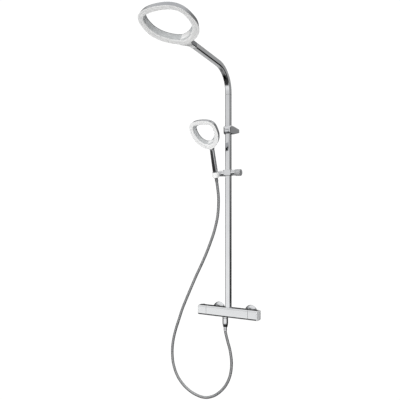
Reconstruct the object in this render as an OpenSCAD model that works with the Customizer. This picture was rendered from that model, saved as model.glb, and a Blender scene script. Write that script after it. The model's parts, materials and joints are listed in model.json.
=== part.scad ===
// Thermostatic bar shower column with a ring overhead head and a ring handset.
// Millimetres. X runs along the bar valve, +Y goes into the wall, +Z is up.
// The origin is on the wall, midway between the two inlets.

/* [Column] */
// Distance from the wall to the centre of the column
wall_gap = 58; // [56:1:62]
// Width and depth of the square tube
tube_w = 22; // [21.6:0.1:22.4]
// Wall thickness of the square tube
tube_wall = 1.8; // [1.5:0.1:1.8]
// Height of the joint between riser and arm
riser_top = 888; // [860:1:920]
// Radius of the arm's bend, on its centre line
bend_r = 106; // [90:1:120]
// Upward slope of the straight arm, degrees
arm_slope = 9.8; // [5:0.1:14]
// Length of the straight arm
arm_len = 173; // [150:1:200]

/* [Bar valve] */
// Distance between the two inlets
inlet_gap = 150; // [148:1:152]
// Height of the bar
bar_h = 40; // [38:1:44]
// Depth of the bar
bar_d = 37; // [36:0.5:40]
// Half of the length of the fixed sleeve between the knobs
sleeve_half = 95.7; // [95:0.1:96]
// Length of each knob with its end cap
knob_len = 41.2; // [40:0.1:46]
// Sideways place of the hose outlet
hose_x = -14.5; // [-18:0.5:-12]

/* [Wall bracket] */
// Height of the upper wall bracket
bracket_z = 743; // [700:1:780]
// Distance between the two wall screws
bracket_screw_gap = 22; // [20:1:24]

/* [Overhead ring] */
// Length of the ring from its neck end to its tip
head_len = 214; // [208:1:220]
// Width of the ring
head_w = 212; // [206:1:218]
// Thickness of the ring
head_t = 25; // [24:1:26]
// Upward tilt of the ring, degrees
head_tilt = 22; // [21:0.5:23]

/* [Slider and handset] */
// Height of the slider's collar
slider_z = 569; // [560:1:580]
// Sideways place of the handset
hand_x = -46; // [-47:0.5:-45]
// Lean of the handle from the vertical, degrees
handle_lean = 16.2; // [14:0.1:18]
// Length of the handset's ring
hand_len = 131; // [128:1:134]
// Width of the handset's ring
hand_w = 123.5; // [121:0.5:126]
// Thickness of the handset's ring
hand_t = 20; // [19:0.5:21]
// Angle of the handset's ring above the horizontal, degrees
hand_tilt = 53; // [52:0.2:54]

/* [Hose] */
// Outside diameter of the hose
hose_d = 12; // [11:0.5:13]

/* [Hidden] */
$fn = 64;

// Column
cy = -wall_gap;
tube_corner = 5;
tube_in = tube_w - 2 * tube_wall;
tube_in_corner = 3.2;
spigot_w = tube_in - 0.4;
spigot_corner = 3;
grub_r = 2;
grub_z = riser_top - 10;
gasket_half = 0.4;
arc_z = riser_top + 7.8;
bend_angle = 90 - arm_slope;
arm_start_y = cy - bend_r * (1 - cos(bend_angle));
arm_start_z = arc_z + bend_r * sin(bend_angle);
arm_end_y = arm_start_y - arm_len * cos(arm_slope);
arm_end_z = arm_start_z + arm_len * sin(arm_slope);
ball_reach = 11;
ball_r = 7.8;
ball_gap = 0.2;
ball_bore_r = 3;

// Bar valve
half_h = bar_h / 2;
bar_corner = 7;
sleeve_wall = 2.5;
core_r = 15;
core_half = 90;
port_r = 7;
waterway_r = 4.5;
cartridge_r = 12;
cartridge_x = 43.5;
spindle_r = 4;
spindle_x = 86;
inlet_x = inlet_gap / 2;
knob_gap = 0.6;
knob_x = sleeve_half + knob_gap;
cap_t = 3.2;
knob_end = knob_x + knob_len;
button_x = 117;
button_r = 4.4;
knob_wall = 3;
knob_wall_x = knob_end - cap_t;
thread_r = 10.48;
union_r = 10;
union_bore_r = 7.5;
seat_r = 11.5;
check_valve_r = 9.3;

// Ring outlines: place of the widest point, then the four Bezier handles. The walls lean
// towards the hole: the slopes say how far the outside and the hole's wall move from face to top.
head_origin = [0, arm_end_y - 61.7, arm_end_z - 11.2];
head_curve = [107, 8, 83, 63, 90];
head_hole_curve = [93, 23, 62, 41, 80];
head_band = [26.5, 21, 22];
head_slopes = [9, 6];
hand_curve = [75.5, 29.7, 40, 30, 60];
hand_hole_curve = [60, 27.7, 29.8, 26.8, 44];
hand_band = [22, 15, 17];
hand_slopes = [2.4, 10];
outline_steps = 14;

// Handset and cradle, measured along the handle from the middle of the cradle
handle_base = [hand_x, cy - 23.4, slider_z - 8.2];
handle_top = 105;
nut_half = 13;
nut_top_r = 12;
nut_low_r = 9.5;
pivot_y = cy - 8;
pivot_z = slider_z - 3;
pivot_x = -24.2;
slider_h = 24;

// A place on the handle's axis, t above the middle of the cradle
function handle_point(t) = handle_base + t * [0, -sin(handle_lean), cos(handle_lean)];
hand_origin = handle_point(handle_top) + [0, -19.5, -0.8];

// The hose hangs freely from the cradle to the outlet under the bar. Each point is X, Y, Z.
hose_points = [
  handle_point(-13.3), handle_point(-30), [-45.5, -66, 502], [-45, -61, 470],
  [-47, -58, 430], [-52, -57, 388], [-61, -57, 350], [-74, -57, 310],
  [-102, -57, 243], [-128, -57, 190], [-156, -57, 137], [-181, -57, 86],
  [-204, -57, 38], [-226, -57, -10], [-244, -57, -58], [-262, -57, -108],
  [-274, -57, -156], [-278, -57, -202], [-272, -57, -252], [-250, -57, -302],
  [-212, -57, -340], [-164, -57, -363], [-112, -57, -369], [-62, -57, -350],
  [-19, -57, -310], [6, -57, -262], [14, -57, -210], [8, -57, -160],
  [-4, -58, -118], [-13, -58, -86], [hose_x, -58, -72], [hose_x, -58, -62.3]
];
hose_sides = 10;
rings_per_stretch = 2;

// ---------- outlines ----------

// Rectangle with round corners, centred on the origin.
function round_rect(w, h, r, n = 6) = [
  for (q = [0:3], k = [0:n])
    let (a = 90 * (q + k / n), sx = (q == 0 || q == 3) ? 1 : -1, sy = q < 2 ? 1 : -1)
      [sx * (w / 2 - r) + r * cos(a), sy * (h / 2 - r) + r * sin(a)]
];

function bezier(a, b, c, d, t) =
  pow(1 - t, 3) * a + 3 * pow(1 - t, 2) * t * b + 3 * (1 - t) * t * t * c + pow(t, 3) * d;

// One side of a rounded triangle, from its neck end at 0 to its tip at len.
function half_ring(len, w, c) = concat(
  [for (k = [0:outline_steps - 1])
    bezier([0, 0], [c[1], 0], [w / 2, c[0] - c[2]], [w / 2, c[0]], k / outline_steps)],
  [for (k = [0:outline_steps - 1])
    bezier([w / 2, c[0]], [w / 2, c[0] + c[3]], [c[4], len], [0, len], k / outline_steps)]
);

// Closed rounded triangle. It lies towards -Y, moved forward by start.
function ring_outline(len, w, c, start = 0) =
  let (side = half_ring(len, w, c), n = len(side))
    concat(
      [for (p = side) [p[0], -p[1] - start]],
      [[0, -len - start]],
      [for (k = [n - 1:-1:1]) [-side[k][0], -side[k][1] - start]]
    );

// The outline moved inwards by d (outwards when d is negative).
function inset(pts, d) =
  let (n = len(pts))
    [for (k = [0:n - 1])
      let (t = pts[(k + 1) % n] - pts[(k + n - 1) % n])
        pts[k] + d * [t[1], -t[0]] / norm(t)];

function ring_hole(len, w, c, band) =
  ring_outline(len - band[0] - band[2], w - 2 * band[1], c, band[0]);

// A ring: its outline and hole at the face, the same at the top, and its thickness.
function ring(len, w, c, hole_c, band, slopes, t) = [
  ring_outline(len, w, c),
  ring_hole(len, w, hole_c, band),
  ring_outline(len - 2 * slopes[0], w - 2 * slopes[0], c * (1 - 2 * slopes[0] / w), slopes[0]),
  ring_hole(len, w, hole_c * (1 - 2 * slopes[1] / (w - 2 * band[1])), band + slopes[1] * [1, 1, 1]),
  t
];

function between(a, b, share) = [for (k = [0:len(a) - 1]) a[k] + share * (b[k] - a[k])];

function outer_at(ring, z) = between(ring[0], ring[2], z / ring[4]);

function hole_at(ring, z) = between(ring[1], ring[3], z / ring[4]);

head_ring = ring(head_len, head_w, head_curve, head_hole_curve, head_band, head_slopes, head_t);
hand_ring = ring(hand_len, hand_w, hand_curve, hand_hole_curve, hand_band, hand_slopes, hand_t);

// ---------- placing helpers ----------

// Extrudes a shape drawn in Y and Z along X, on the axis of the bar.
module along_x(x0, x1, y = cy, z = 0) {
  translate([x0, y, z]) rotate([90, 0, 90]) linear_extrude(x1 - x0) children();
}

module rod_x(x0, x1, r, y = cy, z = 0) {
  translate([x0, y, z]) rotate([0, 90, 0]) cylinder(h = x1 - x0, r = r);
}

module rod_y(y0, y1, r, x = 0, z = 0, sides = 64) {
  translate([x, y0, z]) rotate([-90, 0, 0]) cylinder(h = y1 - y0, r = r, $fn = sides);
}

module rod_z(z0, z1, r, x = 0, y = cy) {
  translate([x, y, z0]) cylinder(h = z1 - z0, r = r);
}

module box_section(w, d, r) {
  polygon(round_rect(w, d, r));
}

// Frame of the arm's end: local Z runs on along the arm.
module arm_end_frame() {
  translate([0, arm_end_y, arm_end_z]) rotate([bend_angle, 0, 0]) children();
}

// Frame of a ring: local Z is the ring's upper side, local -Y runs towards its tip.
module head_frame() {
  translate(head_origin) rotate([-head_tilt, 0, 0]) children();
}

module hand_frame() {
  translate(hand_origin) rotate([-hand_tilt, 0, 0]) children();
}

// Frame of the handle: local Z runs up along it, from the middle of the cradle.
module handle_frame() {
  translate(handle_base) rotate([handle_lean, 0, 0]) children();
}

// Coil spring on the Z axis, drawn as a swept tube with eight sides.
module coil_spring(r, wire_r, h, turns) {
  steps = turns * 12;
  sides = 8;
  points = [
    for (k = [0:steps], s = [0:sides - 1])
      let (a = 360 * turns * k / steps, b = 360 * s / sides)
        [
          (r + wire_r * cos(b)) * cos(a),
          (r + wire_r * cos(b)) * sin(a),
          wire_r + (h - 2 * wire_r) * k / steps + wire_r * sin(b)
        ]
  ];
  swept_tube(points, steps + 1, sides);
}

// Closed tube over rings of points, each ring with the given number of sides.
module swept_tube(points, rings, sides) {
  walls = [
    for (k = [0:rings - 2], s = [0:sides - 1])
      let (a = k * sides + s, b = k * sides + (s + 1) % sides)
        [a, b, b + sides, a + sides]
  ];
  start = [for (s = [sides - 1:-1:0]) s];
  finish = [for (s = [0:sides - 1]) (rings - 1) * sides + s];
  polyhedron(points, concat([start], walls, [finish]), convexity = 10);
}

// ---------- bar valve ----------

module valve_sleeve() {
  color("silver") difference() {
    along_x(-sleeve_half, sleeve_half) box_section(bar_d, bar_h, bar_corner);
    along_x(-sleeve_half + 3, sleeve_half - 3)
      box_section(bar_d - 2 * sleeve_wall, bar_h - 2 * sleeve_wall, bar_corner - sleeve_wall);
    rod_x(-sleeve_half - 1, sleeve_half + 1, 14.2);
    for (x = [-inlet_x, inlet_x]) rod_y(cy, -wall_gap / 2, 13.4, x);
    rod_z(0, half_h + 1, port_r + 1);
    rod_z(-half_h - 1, 0, port_r + 1, hose_x);
  }
}

module valve_core() {
  color("darkgoldenrod") difference() {
    union() {
      rod_x(-core_half, core_half, core_r);
      for (x = [-inlet_x, inlet_x]) rod_y(cy, -27, 13, x);
    }
    for (side = [-1, 1]) {
      rod_x(
        side > 0 ? cartridge_x - 0.5 : -core_half - 1,
        side > 0 ? core_half + 1 : -cartridge_x + 0.5,
        cartridge_r + 0.2
      );
      rod_y(cy + 8, -26, check_valve_r + 0.2, side * inlet_x);
    }
    rod_x(-44, 44, 5);
    rod_z(0, core_r + 1, port_r + 0.1);
    rod_z(-core_r - 1, 0, port_r + 0.1, hose_x);
  }
}

module cartridge() {
  difference() {
    union() {
      rod_x(cartridge_x, core_half, cartridge_r);
      rod_x(core_half, 94, 13.8);
      rod_x(94, 102, 9);
    }
    rod_x(spindle_x - 0.5, 103, spindle_r + 0.06);
  }
}

module thermostatic_cartridge() {
  color("gold") cartridge();
}

module diverter_cartridge() {
  color("gold") mirror([1, 0, 0]) cartridge();
}

module stop_ring() {
  difference() {
    rod_x(96.5, 101, 13);
    rod_x(96, 102, 9.1);
  }
}

module temperature_stop_ring() {
  color("white") stop_ring();
}

module flow_stop_ring() {
  color("white") mirror([1, 0, 0]) stop_ring();
}

// Hollow knob with a hub for the spindle, open towards the sleeve.
module knob() {
  difference() {
    along_x(knob_x, knob_wall_x) box_section(bar_d, bar_h, bar_corner);
    difference() {
      along_x(knob_x - 1, knob_wall_x - knob_wall)
        box_section(bar_d - 2 * knob_wall, bar_h - 2 * knob_wall, bar_corner - knob_wall);
      rod_x(108, knob_wall_x, 2 * spindle_r);
    }
    rod_x(100, knob_wall_x - knob_wall + 0.1, spindle_r + 0.02);
    rod_x(knob_wall_x - knob_wall - 1, knob_wall_x + 1, 2.1);
    rod_x(knob_wall_x - 2, knob_wall_x + 1, 4);
    rod_z(half_h - knob_wall - 1, half_h + 1, button_r + 0.3, button_x);
  }
}

module temperature_knob() {
  color("gainsboro") knob();
}

module flow_knob() {
  color("gainsboro") mirror([1, 0, 0]) knob();
}

module spindle() {
  difference() {
    rod_x(spindle_x, knob_wall_x - knob_wall, spindle_r);
    rod_x(knob_wall_x - 18, knob_wall_x, 2.05);
  }
}

module temperature_spindle() {
  color("goldenrod") spindle();
}

module flow_spindle() {
  color("goldenrod") mirror([1, 0, 0]) spindle();
}

module knob_screw() {
  rod_x(knob_wall_x - 17, knob_wall_x - 2, 2);
  rod_x(knob_wall_x - 2, knob_wall_x - 0.2, 3.5);
}

module temperature_knob_screw() {
  color("gray") knob_screw();
}

module flow_knob_screw() {
  color("gray") mirror([1, 0, 0]) knob_screw();
}

module end_cap() {
  along_x(knob_wall_x, knob_end) box_section(bar_d - 0.6, bar_h - 0.6, bar_corner - 0.3);
}

module temperature_end_cap() {
  color("silver") end_cap();
}

module flow_end_cap() {
  color("silver") mirror([1, 0, 0]) end_cap();
}

module button() {
  rod_z(14.4, 16.5, button_r + 1.2, button_x);
  rod_z(16.5, half_h + 3.4, button_r, button_x);
}

module temperature_button() {
  color("black") button();
}

module flow_button() {
  color("black") mirror([1, 0, 0]) button();
}

module button_spring() {
  translate([button_x, cy, 8.2]) coil_spring(3, 0.35, 6, 4);
}

module temperature_button_spring() {
  color("lightgray") button_spring();
}

module flow_button_spring() {
  color("lightgray") mirror([1, 0, 0]) button_spring();
}

// ---------- wall inlets ----------

// Threaded union between the wall fitting and the valve, with a collar held by the nut.
module inlet_union(x) {
  difference() {
    union() {
      rod_y(-25, -22, seat_r, x);
      rod_y(-22, -2, union_r, x);
      rod_y(-2, 16, thread_r, x);
    }
    rod_y(-26, 17, union_bore_r, x);
  }
}

module inlet_union_left() {
  color("goldenrod") inlet_union(-inlet_x);
}

module inlet_union_right() {
  color("goldenrod") inlet_union(inlet_x);
}

module union_nut(x) {
  difference() {
    rod_y(-38.5, -20.5, 17.3, x, 0, 6);
    rod_y(-39, -22, 13.1, x);
    rod_y(-23, -20, union_r + 0.2, x);
  }
}

module union_nut_left() {
  color("silver") union_nut(-inlet_x);
}

module union_nut_right() {
  color("silver") union_nut(inlet_x);
}

// Thin round cover plate, dished towards the wall.
module escutcheon(x) {
  translate([x, 0, 0]) rotate([90, 0, 0]) rotate_extrude()
    polygon([[11, 15], [19, 15], [24, 12], [28, 0], [26, 0], [23, 10.5], [18.6, 13.2], [11, 13.2]]);
}

module escutcheon_left() {
  color("silver") escutcheon(-inlet_x);
}

module escutcheon_right() {
  color("silver") escutcheon(inlet_x);
}

module filter_washer(x) {
  difference() {
    rod_y(-27, -25, seat_r, x);
    rod_y(-28, -24, 8, x);
  }
}

module filter_washer_left() {
  color("black") filter_washer(-inlet_x);
}

module filter_washer_right() {
  color("black") filter_washer(inlet_x);
}

module check_valve(x) {
  difference() {
    rod_y(-45, -29, check_valve_r, x);
    rod_y(-41, -28, 6.5, x);
  }
}

module check_valve_left() {
  color("orange") check_valve(-inlet_x);
}

module check_valve_right() {
  color("orange") check_valve(inlet_x);
}

// ---------- outlets and column ----------

module riser_adapter() {
  color("goldenrod") difference() {
    union() {
      rod_z(9, half_h, port_r);
      translate([0, cy, half_h]) linear_extrude(28) spigot_section();
    }
    rod_z(8, half_h + 29, waterway_r);
  }
}

module hose_outlet() {
  color("silver") difference() {
    union() {
      rod_z(-half_h, -9, port_r, hose_x);
      rod_z(-half_h - 4, -half_h, 12, hose_x);
      rod_z(-35, -half_h - 4, thread_r, hose_x);
    }
    rod_z(-36, -8, waterway_r, hose_x);
  }
}

module tube_section() {
  box_section(tube_w, tube_w, tube_corner);
}

module tube_bore() {
  box_section(tube_in, tube_in, tube_in_corner);
}

module spigot_section() {
  box_section(spigot_w, spigot_w, spigot_corner);
}

module riser_tube() {
  color("silver") difference() {
    translate([0, cy, half_h]) linear_extrude(riser_top - half_h - gasket_half) tube_section();
    translate([0, cy, half_h - 1]) linear_extrude(riser_top) tube_bore();
    rod_y(cy + 8, cy + 12, grub_r + 0.05, 0, grub_z);
  }
}

module arm_gasket() {
  color("black") translate([0, cy, riser_top - gasket_half]) linear_extrude(2 * gasket_half)
  difference() {
    box_section(tube_w - 0.8, tube_w - 0.8, tube_corner - 0.4);
    tube_bore();
  }
}

module arm_spigot() {
  color("goldenrod") difference() {
    translate([0, cy, riser_top - 26]) linear_extrude(33) spigot_section();
    rod_z(riser_top - 27, riser_top + 8, 5);
    rod_y(cy + 6.5, cy + 10, grub_r + 0.05, 0, grub_z);
  }
}

module arm_grub_screw() {
  color("gray") rod_y(cy + 6.6, cy + 10.8, grub_r, 0, grub_z);
}

// The arm's path: a short rise, the bend, then the straight length. over lengthens both ends.
module arm_sweep(over) {
  translate([0, cy, riser_top + gasket_half - over])
    linear_extrude(arc_z - riser_top - gasket_half + over)
    children();
  translate([0, cy - bend_r, arc_z]) rotate([90, 0, 90])
    rotate_extrude(angle = bend_angle) translate([bend_r, 0]) children();
  translate([0, arm_start_y, arm_start_z]) rotate([bend_angle, 0, 0])
    linear_extrude(arm_len + over) children();
}

module arm_tube() {
  color("silver") difference() {
    arm_sweep(0) tube_section();
    arm_sweep(1) tube_bore();
  }
}

// Hollow ball on a stem. The head tilts on it.
module arm_ball() {
  color("goldenrod") arm_end_frame() difference() {
    union() {
      translate([0, 0, -20]) linear_extrude(20) spigot_section();
      cylinder(h = ball_reach, r = 5);
      translate([0, 0, ball_reach]) sphere(r = ball_r);
    }
    translate([0, 0, -21]) cylinder(h = 50, r = ball_bore_r);
  }
}

// ---------- upper wall bracket ----------

collar_bore = 25.4;
collar_bore_corner = 6.5;
bush_w = 25.2;
bush_corner = 6.4;
screw_r = 2.25;
bracket_side = [
  [0, -7.5], [wall_gap - 12, -17.5], [wall_gap + 8, -17.5], [wall_gap + 17.5, -6.5],
  [wall_gap + 17.5, 7.5], [wall_gap + 8, 17.5], [wall_gap - 12, 17.5], [0, 7.5]
];
bracket_plan = [
  [-20, 0], [-17.5, -wall_gap + 14], [-17.5, -wall_gap - 9], [-12, -wall_gap - 17.5],
  [12, -wall_gap - 17.5], [17.5, -wall_gap - 9], [17.5, -wall_gap + 14], [20, 0]
];

module collar_hole() {
  box_section(collar_bore, collar_bore, collar_bore_corner);
}

module bracket_body() {
  color("silver") difference() {
    intersection() {
      translate([-30, 0, bracket_z]) rotate([90, 0, 90]) linear_extrude(60)
        polygon([for (p = bracket_side) [-p[0], p[1]]]);
      translate([0, 0, bracket_z - 30]) linear_extrude(60) polygon(bracket_plan);
    }
    translate([0, cy, bracket_z - 31]) linear_extrude(62) collar_hole();
    translate([-17, -9, bracket_z - 5.4]) cube([34, 10, 10.8]);
    rod_x(12, 18, grub_r + 0.05, cy, bracket_z);
  }
}

module bracket_base() {
  color("gray") difference() {
    translate([-16.5, -3, bracket_z - 5]) cube([33, 3, 10]);
    for (side = [-1, 1]) rod_y(-4, 1, screw_r + 0.15, side * bracket_screw_gap / 2, bracket_z);
  }
}

module bracket_screws() {
  color("lightgray") for (side = [-1, 1]) {
    rod_y(0.3, 12, screw_r, side * bracket_screw_gap / 2, bracket_z);
    rod_y(-3, 0.3, screw_r - 0.15, side * bracket_screw_gap / 2, bracket_z);
    rod_y(-5.5, -3, 4.2, side * bracket_screw_gap / 2, bracket_z);
  }
}

module bracket_bush() {
  color("dimgray") translate([0, cy, bracket_z - 15]) linear_extrude(30) difference() {
    box_section(bush_w, bush_w, bush_corner);
    box_section(tube_w + 0.3, tube_w + 0.3, tube_corner + 0.1);
  }
}

module bracket_grub_screw() {
  color("gray") rod_x(12.7, 17.3, grub_r, cy, bracket_z);
}

// ---------- ring heads ----------

face_t = 2.2;
shell_wall = 2.4;
nozzle_wall = 3.2;
way_r = 3.5;
socket_r = 8.2;

// Closed band through loops of points, each given with its height.
module band_solid(loops) {
  n = len(loops[0][0]);
  m = len(loops);
  points = [for (l = loops, p = l[0]) [p[0], p[1], l[1]]];
  faces = [
    for (k = [0:m - 1], s = [0:n - 1])
      let (a = k * n + s, b = k * n + (s + 1) % n, up = ((k + 1) % m - k) * n)
        each [[a, b, b + up], [a, b + up, a + up]]
  ];
  polyhedron(points, faces, convexity = 10);
}

// Upper shell: the outer wall with the top plate, open below for the water.
module ring_shell(ring) {
  t = ring[4];
  low = t - shell_wall;
  band_solid([
    [outer_at(ring, face_t), face_t],
    [outer_at(ring, t), t],
    [hole_at(ring, t), t],
    [hole_at(ring, low), low],
    [inset(outer_at(ring, low), shell_wall), low],
    [inset(outer_at(ring, face_t), shell_wall), face_t]
  ]);
}

// Flat face plate, a little inside the shell's edge.
module ring_face(ring) {
  linear_extrude(face_t) difference() {
    polygon(inset(ring[0], 0.3));
    polygon(ring[1]);
  }
}

// Wall round the hole, where the jets come out.
module ring_nozzles(ring) {
  low = ring[4] - shell_wall;
  band_solid([
    [inset(hole_at(ring, face_t), -nozzle_wall), face_t],
    [inset(hole_at(ring, low), -nozzle_wall), low],
    [hole_at(ring, low), low],
    [hole_at(ring, face_t), face_t]
  ]);
}

// Blend from the square end of the arm to the inner part of the ring.
module head_neck() {
  hull() {
    arm_end_frame() translate([0, 0, 22]) linear_extrude(2) box_section(tube_w, tube_w, tube_corner);
    head_frame() translate([-22, -15, face_t + 0.6]) cube([44, 3, head_t - face_t - 1.2]);
  }
  arm_end_frame() translate([0, 0, 1.8]) linear_extrude(21) tube_section();
}

module head_shell() {
  color("silver") difference() {
    union() {
      head_frame() ring_shell(head_ring);
      head_neck();
    }
    arm_end_frame() translate([0, 0, 1]) cylinder(h = 20, r = socket_r);
    arm_end_frame() translate([0, 0, 20]) cylinder(h = 56, r = way_r);
  }
}

module head_face() {
  color("white") head_frame() ring_face(head_ring);
}

module head_nozzle_ring() {
  color("lightslategray") head_frame() ring_nozzles(head_ring);
}

module head_retainer() {
  color("dimgray") arm_end_frame() difference() {
    translate([0, 0, 3]) cylinder(h = 6, r = socket_r - 0.1);
    translate([0, 0, ball_reach]) sphere(r = ball_r + ball_gap);
    translate([0, 0, 2]) cylinder(h = 8, r = 6.3);
  }
}

module head_seal() {
  color("black") arm_end_frame() difference() {
    translate([0, 0, 15]) cylinder(h = 5.6, r = socket_r - 0.1);
    translate([0, 0, ball_reach]) sphere(r = ball_r + ball_gap);
    translate([0, 0, 14]) cylinder(h = 8, r = way_r);
  }
}

// ---------- slider and cradle ----------

hub_r = 12;
boss_end = 33;
clamp_knob_r = 14;
clamp_knob_end = 58;
clamp_r = 4;
pad_r = 4.6;
pivot_r = 3;
pivot_head_r = 5.4;

module slider_body() {
  color("silver") difference() {
    union() {
      translate([0, cy, slider_z - slider_h / 2]) linear_extrude(slider_h) box_section(35, 35, 8);
      rod_x(pivot_x, -14, hub_r, pivot_y, pivot_z);
      rod_x(14, boss_end, hub_r, cy, slider_z);
    }
    translate([0, cy, slider_z - 20]) linear_extrude(40) collar_hole();
    rod_x(12, 16, pad_r + 0.2, cy, slider_z);
    rod_x(15, boss_end + 1, clamp_r + 0.1, cy, slider_z);
    rod_x(pivot_x - 1, -13, pivot_r + 0.05, pivot_y, pivot_z);
  }
}

module slider_bush() {
  color("dimgray") difference() {
    translate([0, cy, slider_z - 11.5]) linear_extrude(23) difference() {
      box_section(bush_w, bush_w, bush_corner);
      box_section(tube_w + 0.6, tube_w + 0.6, tube_corner + 0.2);
    }
    rod_x(10, 14, pad_r + 0.2, cy, slider_z);
  }
}

module slider_knob() {
  color("darkgray") difference() {
    rod_x(boss_end + 0.6, clamp_knob_end, clamp_knob_r, cy, slider_z);
    rod_x(boss_end, clamp_knob_end - 10, clamp_r + 0.02, cy, slider_z);
  }
}

module slider_spindle() {
  color("goldenrod") rod_x(14.2, clamp_knob_end - 10, clamp_r, cy, slider_z);
}

module slider_pad() {
  color("white") rod_x(11.4, 13.9, pad_r, cy, slider_z);
}

// Conical cup with a slot on its free side for the hose, on a round hub beside the slider.
module cradle() {
  cup_half = 11;
  slot_w = 14;
  nut_gap = 0.35;
  hub_end = -37;
  color("whitesmoke") difference() {
    union() {
      handle_frame() translate([0, 0, -cup_half]) cylinder(h = 2 * cup_half, r1 = 13.6, r2 = 15);
      rod_x(hub_end, pivot_x - 0.4, hub_r, pivot_y, pivot_z);
    }
    handle_frame() translate([0, 0, -nut_half])
      cylinder(h = 2 * nut_half, r1 = nut_low_r + nut_gap, r2 = nut_top_r + nut_gap);
    handle_frame() translate([0, 0, nut_half - 0.1]) cylinder(h = 20, r = nut_top_r + nut_gap);
    handle_frame() translate([-30, -slot_w / 2, -30]) cube([30, slot_w, 60]);
    rod_x(hub_end - 1, -20, pivot_r + 0.05, pivot_y, pivot_z);
    rod_x(hub_end - 1, -30, pivot_head_r + 0.4, pivot_y, pivot_z);
  }
}

module cradle_pivot_bolt() {
  color("gray") {
    rod_x(-30.2, -14.5, pivot_r, pivot_y, pivot_z);
    rod_x(-32.2, -30.2, pivot_head_r, pivot_y, pivot_z);
  }
}

// ---------- handset ----------

module handset_handle() {
  color("silver") handle_frame() difference() {
    union() {
      translate([0, 0, 13.2]) cylinder(h = handle_top - 13.2, r1 = 10.4, r2 = 9.4);
      translate([0, 0, 5]) cylinder(h = 9, r = 8.5);
    }
    translate([0, 0, 4]) cylinder(h = handle_top, r = 6);
  }
}

// Blend from the top of the handle to the ring.
module hand_neck() {
  hull() {
    handle_frame() translate([0, 0, handle_top]) cylinder(h = 1, r = 9.2, $fn = 32);
    hand_frame() translate([-11, -13, face_t + 0.6]) cube([22, 3, hand_t - face_t - 1.2]);
  }
}

module handset_shell() {
  color("silver") difference() {
    union() {
      hand_frame() ring_shell(hand_ring);
      difference() {
        hand_neck();
        hand_frame() translate([-40, -60, face_t - 10]) cube([80, 80, 10]);
      }
    }
    handle_frame() translate([0, 0, handle_top - 1]) cylinder(h = 6, r = way_r);
    hand_frame() translate([0, 6, 13]) rotate([90, 0, 0]) cylinder(h = 25, r = way_r);
  }
}

module handset_face() {
  color("white") hand_frame() ring_face(hand_ring);
}

module handset_nozzle_ring() {
  color("lightslategray") hand_frame() ring_nozzles(hand_ring);
}

// ---------- hose ----------

module hose_cone_nut() {
  color("silver") handle_frame() difference() {
    translate([0, 0, -nut_half]) cylinder(h = 2 * nut_half, r1 = nut_low_r, r2 = nut_top_r);
    translate([0, 0, 4]) cylinder(h = 10, r = 8.6);
    translate([0, 0, -14]) cylinder(h = 20, r = waterway_r);
  }
}

module hose_outlet_nut() {
  color("silver") difference() {
    rod_z(-62, -25, 11.6, hose_x);
    rod_z(-36, -24, thread_r + 0.1, hose_x);
    rod_z(-63, -35, waterway_r, hose_x);
  }
}

// Smooth curve through the route's points.
function route_point(p, k, t) =
  let (
    n = len(p),
    a = p[max(k - 1, 0)],
    b = p[k],
    c = p[min(k + 1, n - 1)],
    d = p[min(k + 2, n - 1)]
  )
    b + t * (c - a) / 2 + t * t * (a - 2.5 * b + 2 * c - d / 2)
      + t * t * t * (1.5 * (b - c) + (d - a) / 2);

hose_line = concat(
  [for (k = [0:len(hose_points) - 2], s = [0:rings_per_stretch - 1])
    route_point(hose_points, k, s / rings_per_stretch)],
  [hose_points[len(hose_points) - 1]]
);

module hose_tube() {
  last = len(hose_line) - 1;
  points = [
    for (k = [0:last], s = [0:hose_sides - 1])
      let (
        way = hose_line[min(k + 1, last)] - hose_line[max(k - 1, 0)],
        along = way / norm(way),
        across = cross(along, [0, 1, 0]),
        u = across / norm(across),
        v = cross(along, u),
        a = 360 * s / hose_sides
      )
        hose_line[k] + hose_d / 2 * (cos(a) * u + sin(a) * v)
  ];
  color("gray") swept_tube(points, last + 1, hose_sides);
}

valve_sleeve();
valve_core();
thermostatic_cartridge();
diverter_cartridge();
temperature_knob();
temperature_spindle();
temperature_knob_screw();
temperature_end_cap();
temperature_button();
temperature_button_spring();
temperature_stop_ring();
flow_knob();
flow_spindle();
flow_knob_screw();
flow_end_cap();
flow_button();
flow_button_spring();
flow_stop_ring();
inlet_union_left();
inlet_union_right();
union_nut_left();
union_nut_right();
escutcheon_left();
escutcheon_right();
filter_washer_left();
filter_washer_right();
check_valve_left();
check_valve_right();
riser_adapter();
hose_outlet();
riser_tube();
arm_gasket();
arm_spigot();
arm_grub_screw();
arm_tube();
arm_ball();
bracket_body();
bracket_base();
bracket_screws();
bracket_bush();
bracket_grub_screw();
head_shell();
head_face();
head_nozzle_ring();
head_retainer();
head_seal();
slider_body();
slider_bush();
slider_knob();
slider_spindle();
slider_pad();
cradle();
cradle_pivot_bolt();
handset_handle();
handset_shell();
handset_face();
handset_nozzle_ring();
hose_cone_nut();
hose_outlet_nut();
hose_tube();
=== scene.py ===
"""Looks of the shower column. Millimetres inside the helpers, metres in Blender."""

import json
import math

import bmesh
import bpy
import numpy as np
from mathutils import Matrix, Vector

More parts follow.
